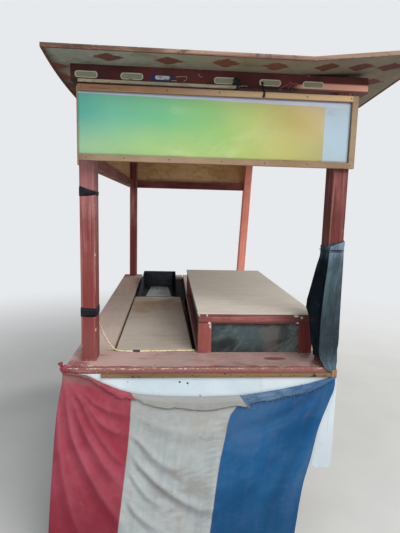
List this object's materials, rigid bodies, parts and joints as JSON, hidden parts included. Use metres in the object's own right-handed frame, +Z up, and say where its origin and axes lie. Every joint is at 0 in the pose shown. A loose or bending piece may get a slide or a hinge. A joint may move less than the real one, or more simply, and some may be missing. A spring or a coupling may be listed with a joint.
{
  "type": "food vending hand cart with roof",
  "caption": "Wooden street food cart on spoked wheels: roof on posts, blank sign, glass case, stove tub, hatch board, cloth curtain and push handle.",
  "frame": {"origin": "on the ground, under the middle of the roof, which is the widest and longest piece", "axes": "+Y from the sign end to the push handle, +X to the side with the glass case, +Z up"},
  "size_m": [1.38, 2.61, 2.108],
  "materials": {
    "red_paint": "worn matt red-brown paint",
    "plank_worn": "bare weathered plank",
    "plank_pink": "plank with worn red paint",
    "raw_wood": "raw sawn strip",
    "frame_wood": "old sawn timber",
    "plywood": "stained plywood",
    "white_board": "white painted board",
    "roof_paint": "grey-green painted board",
    "roof_edge": "faded pink-brown paint",
    "pale_moulding": "pale painted moulding",
    "banner": "printed vinyl",
    "glass": "dusty clear glass",
    "black_steel": "sooty black sheet steel",
    "grey_steel": "dull steel plate",
    "chassis_paint": "dark worn paint over steel",
    "wheel_paint": "worn red oxide paint",
    "bright_steel": "rubbed steel pipe",
    "tyre": "dusty solid rubber",
    "striped_cloth": "worn cotton in three broad stripes",
    "tarpaulin": "dark blue-grey tarpaulin",
    "tape": "insulating tape",
    "yellow_flex": "yellow sheathed flex",
    "black_plastic": "black moulding"
  },
  "bodies": {
    "cart": {"front_plank": "plank_pink", "left_plank": "plank_worn", "right_plank": "plank_worn", "back_plank": "plank_worn", "deck_joists": "frame_wood", "deck_rims": "red_paint", "gap_lath": "frame_wood", "cross_bearers": "frame_wood", "chassis_rails": "frame_wood", "stove_tub": "black_steel", "stove_plate": "grey_steel", "front_skirt": "white_board", "back_skirt": "white_board", "side_skirts": "white_board", "skirt_studs": "frame_wood", "front_batten": "raw_wood", "post_front_left": "red_paint", "post_front_right": "red_paint", "post_back_left": "red_paint", "post_back_right": "red_paint", "beam_front": "red_paint", "beam_back": "red_paint", "beam_left": "red_paint", "beam_right": "red_paint", "rafter": "frame_wood", "roof_board": "roof_paint", "roof_trim": "roof_edge", "sign_frame": "raw_wood", "sign_banner": "banner", "beam_moulding": "pale_moulding", "left_panel": "plywood", "left_rail": "red_paint", "back_panel": "plywood", "back_rail": "red_paint", "case_frame": "red_paint", "case_top": "plank_worn", "case_glass": "glass", "axles": "chassis_paint", "axle_hangers": "chassis_paint", "push_handle": "bright_steel", "cloth_curtain": "striped_cloth", "tarpaulin": "tarpaulin", "lamp_cord": "yellow_flex", "lamp_cord_held": "yellow_flex", "tape_bands": "tape", "cord_joint_box": "black_plastic"},
    "hatch": {"hatch_board": "plank_worn"},
    "door": {"case_door": "glass", "door_pull": "bright_steel"},
    "front_left_wheel": {"wheel_front_left": "wheel_paint", "tyre_front_left": "tyre"},
    "front_right_wheel": {"wheel_front_right": "wheel_paint", "tyre_front_right": "tyre"},
    "rear_left_wheel": {"wheel_rear_left": "wheel_paint", "tyre_rear_left": "tyre"},
    "rear_right_wheel": {"wheel_rear_right": "wheel_paint", "tyre_rear_right": "tyre"}
  },
  "joints": [
    {"name": "front_left_wheel_turn", "type": "hinge", "parent": "cart", "child": "front_left_wheel", "pos_m": [-0.505, -0.665, 0.3], "axis": [1, 0, 0], "continuous": true},
    {"name": "front_right_wheel_turn", "type": "hinge", "parent": "cart", "child": "front_right_wheel", "pos_m": [0.335, -0.665, 0.3], "axis": [1, 0, 0], "continuous": true},
    {"name": "rear_left_wheel_turn", "type": "hinge", "parent": "cart", "child": "rear_left_wheel", "pos_m": [-0.505, 0.645, 0.3], "axis": [1, 0, 0], "continuous": true},
    {"name": "rear_right_wheel_turn", "type": "hinge", "parent": "cart", "child": "rear_right_wheel", "pos_m": [0.335, 0.645, 0.3], "axis": [1, 0, 0], "continuous": true},
    {"name": "hatch_lift", "type": "slide", "parent": "cart", "child": "hatch", "axis": [0, 0, 1], "range_m": [0, 0.3]},
    {"name": "door_slide", "type": "slide", "parent": "cart", "child": "door", "axis": [0, 1, 0], "range_m": [0, 0.58]}
  ]
}
